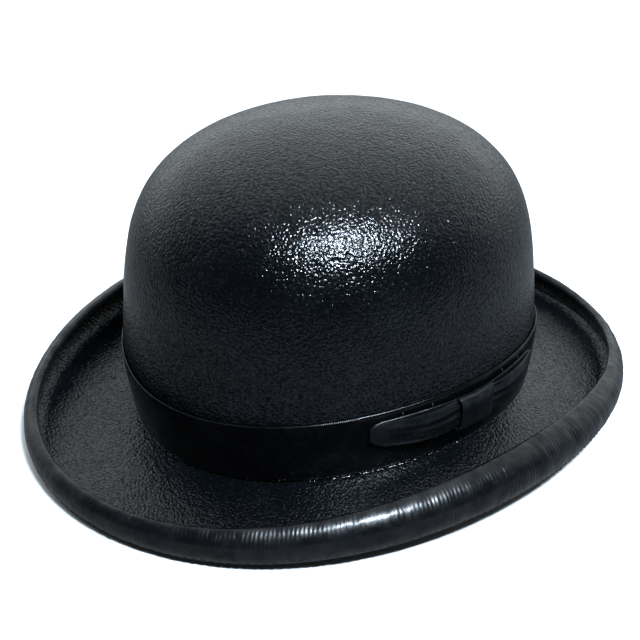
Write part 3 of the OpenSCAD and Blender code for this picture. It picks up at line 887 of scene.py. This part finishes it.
def sweatband():
    seam = 90 + np.array([-1.4, -0.9, -0.5, -0.25, -0.12, 0.12, 0.25, 0.5, 0.9, 1.4])
    a = np.array([x for x in around(460) if abs(x - 90) > 1.6])
    a = np.sort(np.concatenate([a, seam]))
    groove = np.exp(-((a - 90) / 0.22) ** 2)
    pressed_lines = (46.2, 44.6)                             # heights of the two near the top edge
    inner, outer = [], []
    for t in np.concatenate([np.linspace(0, 0.86, 26), np.linspace(0.875, 1, 14)]):
        h = mix(0.2, SWEAT_H - 0.25, t) + 0.2 * ease(t, 0.8, 1) * ring_noise(a, 8, 61)
        press = sum(0.22 * math.exp(-((t * SWEAT_H - line) / 0.45) ** 2) for line in pressed_lines)
        soft = 0.16 * ring_noise(a + 30 * t, 12, 62) * ease(t, 0.15, 0.6)
        inner.append(wall_pt(a, h, LEATHER_IN - press - 0.4 * groove + soft * 0.6 + 0.1 * t))
        outer.append(wall_pt(a, h, LEATHER_OUT + 0.05 + soft * 0.3))
    band = shell("leather_band", np.array(inner), np.array(outer), True,
                 "sweatband_leather", "sweatband")

    a = around(400)
    path = wall_pt(a, -0.7, (LEATHER_IN + LEATHER_OUT) / 2)
    joined("reed_cord", [tube_parts(path, REED_R, 12, True)], "reed_plastic", "sweatband_reed")

    heights = [mix(-0.25, 7.95, t) for t in np.linspace(0, 1, 8)]
    inner = np.array([wall_pt(a, h, TAPE_IN - 0.02) for h in heights])
    outer = np.array([wall_pt(a, h, LINING_OUT + 0.02) for h in heights])
    shell("seam_tape", inner, outer, True, "tape", "reed_tape")

    def foot_row(at, side, proud=0.0):
        row_h = 3.0
        return wall_pt(at, row_h + side, LEATHER_IN + 0.1 + proud)

    parts = row_of_stitches(foot_row, count=176, length=2.5, radius=0.2, arch=0.14, tilt=0.45)
    joined("foot_stitches", parts, "thread", "sweatband_thread")

    parts = []
    shift = math.degrees(1.45 / HALF_W)
    over_bow, pitch = 20, 3.5                                # they start above the small bow
    for h in np.arange(over_bow, SWEAT_H - 3, pitch):
        for tilt in (-0.6, 0.6):
            start = wall_pt(90 - shift, h - tilt, LEATHER_IN + 0.1)
            end = wall_pt(90 + shift, h + tilt, LEATHER_IN + 0.1)
            parts.append(stitch_parts(start, end, np.array([0, -1.0, 0]), 0.2, 0.22))
    joined("back_stitches", parts, "thread", "sweatband_back_seam")


def inner_bow():
    """Two small flat loops and a knot over the leather's back seam."""
    parts = []
    for side in (-1, 1):
        turn = np.linspace(-90, 90, 49)
        u = np.abs(cosd(turn)) ** 0.5
        near = np.maximum(0, -np.sign(turn) * np.abs(sind(turn)) ** 0.6)[None]
        v = np.linspace(-1, 1, 9)[:, None]
        off = mix(0.6, 7.2, u)[None]
        half = 1.7 + 0.9 * np.sin(math.pi * u / 1.3)[None]
        h = 13.2 - 0.5 * off + half * v
        rise = 0.5 + near * (0.35 + 1.0 * np.sin(math.pi * np.minimum(1, u))[None] * (1 - 0.3 * v**2))
        mid = wall_pt(90 + side * off + 0 * v, h, LEATHER_IN + rise)
        down, along = np.gradient(mid, axis=0), np.gradient(mid, axis=1)
        n = np.cross(down, along)
        n = n / np.maximum(1e-9, np.linalg.norm(n, axis=-1, keepdims=True))
        parts.append(shell_parts(mid + n * 0.13, mid - n * 0.13, False))
    joined("small_bow_loops", parts, "inner_ribbon", "inner_ribbon_loops")

    wide = np.linspace(-1, 1, 9)[None]
    turn = np.linspace(-180, 180, 41)[:, None]
    up, out = sind(turn), cosd(turn)
    mid = wall_pt(90 + 1.25 * wide + 0 * up, 13 + 2.1 * up, LEATHER_IN + 1.45 + 1.0 * out + 0 * wide)
    thick("small_bow_knot", mid, 0.26, "inner_ribbon", "inner_ribbon_knot")


def card_tab():
    foot, top, half_t = 38, 62, 0.08
    a = np.linspace(96, 114, 25)
    t = np.linspace(0, 1, 17)[:, None]
    depth = LINING_IN + 0.3
    inner = wall_pt(a[None] + 0 * t, mix(foot, top, t), depth + half_t)
    outer = wall_pt(a[None] + 0 * t, mix(foot, top, t), depth - half_t)
    shell("blank_tab", inner, outer, False, "card", "size_tab")


felt_hood()
brim_binding()
binding_stitches()
hat_band()
bow()
lining()
sweatband()
inner_bow()
card_tab()


# ---- Floor, light and camera ----

def seen_or_not(nodes, links, unseen, seen):
    """A value that the camera sees, and another for the light that falls on the hat."""
    node = nodes.new("ShaderNodeMix")
    node.data_type = "FLOAT"
    links.new(nodes.new("ShaderNodeLightPath").outputs["Is Camera Ray"], node.inputs[0])
    if isinstance(unseen, bpy.types.NodeSocket):
        links.new(unseen, node.inputs[2])
    else:
        node.inputs[2].default_value = unseen
    node.inputs[3].default_value = seen
    return node.outputs[0]


def paper():
    """White paper, which throws less light back on the hat than it shows."""
    material = bpy.data.materials.new("floor_paper")
    material.use_nodes = True
    nodes, links = material.node_tree.nodes, material.node_tree.links
    shader = nodes["Principled BSDF"]
    links.new(seen_or_not(nodes, links, unseen=0.13, seen=0.88), shader.inputs["Base Color"])
    shader.inputs["Roughness"].default_value = 0.7
    shader.inputs["Specular IOR Level"].default_value = 0.2
    return material


def floor():
    """A pale sheet that runs far back and to the sides, and stops a little in front of the hat."""
    far, front = 1.6, 0.37
    mesh = bpy.data.meshes.new("floor")
    corners = [(-far, -front, 0), (far, -front, 0), (far, far, 0), (-far, far, 0)]
    mesh.from_pydata(corners, [], [(0, 1, 2, 3)])
    mesh.transform(Matrix.Rotation(math.radians(47.7), 4, "Z"))      # square to the camera
    obj = bpy.data.objects.new("floor", mesh)
    bpy.context.scene.collection.objects.link(obj)
    mesh.materials.append(paper())


def area_light(name, azimuth, elevation, distance, size, power, colour):
    a, e = math.radians(azimuth), math.radians(elevation)
    way = Vector((math.sin(a) * math.cos(e), -math.cos(a) * math.cos(e), math.sin(e)))
    light = bpy.data.lights.new(name, "AREA")
    light.shape = "RECTANGLE"
    light.size, light.size_y = size
    light.energy = power
    light.color = colour
    obj = bpy.data.objects.new(name, light)
    obj.location = Vector((0, 0, 0.09)) + way * distance
    obj.rotation_euler = way.to_track_quat("Z", "Y").to_euler()
    bpy.context.scene.collection.objects.link(obj)
    return obj


def surroundings():
    """Bright behind the hat and dark on the camera's side; plain white to the camera."""
    world = bpy.data.worlds.new("studio")
    bpy.context.scene.world = world
    world.use_nodes = True
    nodes, links = world.node_tree.nodes, world.node_tree.links
    nodes.clear()
    way = nodes.new("ShaderNodeTexCoord").outputs["Generated"]
    split = nodes.new("ShaderNodeSeparateXYZ")
    links.new(way, split.inputs[0])
    behind = nodes.new("ShaderNodeVectorMath")
    behind.operation = "DOT_PRODUCT"
    links.new(way, behind.inputs[0])
    behind.inputs[1].default_value = (-0.70, 0.65, 0.30)     # away from the camera, and a little up

    def spread(value, start, end, low, high):
        node = nodes.new("ShaderNodeMapRange")
        node.interpolation_type = "SMOOTHSTEP"
        links.new(value, node.inputs["Value"])
        for name, number in (("From Min", start), ("From Max", end),
                             ("To Min", low), ("To Max", high)):
            node.inputs[name].default_value = number
        return node.outputs["Result"]

    light = spread(behind.outputs["Value"], -0.22, 0.9, 0.03, 1.2)
    out = nodes.new("ShaderNodeBackground")
    out.inputs["Color"].default_value = (0.9, 0.97, 1.0, 1)
    links.new(seen_or_not(nodes, links, unseen=light, seen=1.2), out.inputs["Strength"])
    end = nodes.new("ShaderNodeOutputWorld")
    links.new(out.outputs[0], end.inputs["Surface"])


def camera():
    place, target = Vector((0.4019, -0.3675, 0.3493)), Vector((0.0026, -0.0110, 0.0430))
    wide, roll = math.radians(27.455), math.radians(0.594)
    data = bpy.data.cameras.new("camera")
    data.sensor_width = 36
    data.angle = wide
    data.clip_start = 0.01
    obj = bpy.data.objects.new("camera", data)
    turn = (place - target).to_track_quat("Z", "Y").to_matrix().to_4x4()
    obj.matrix_world = Matrix.Translation(place) @ turn @ Matrix.Rotation(roll, 4, "Z")
    bpy.context.scene.collection.objects.link(obj)
    bpy.context.scene.camera = obj


floor()
surroundings()
area_light("key", 73, 52, 1.1, (0.3, 0.13), 36, (0.74, 0.87, 1.0))
fill = area_light("fill", -60, 80, 1.6, (1.6, 1.6), 10, (0.85, 0.94, 1.0))
fill.visible_glossy = False                # it lights the floor, and isn't mirrored in the lacquer
camera()
bpy.context.scene.view_settings.view_transform = "Standard"
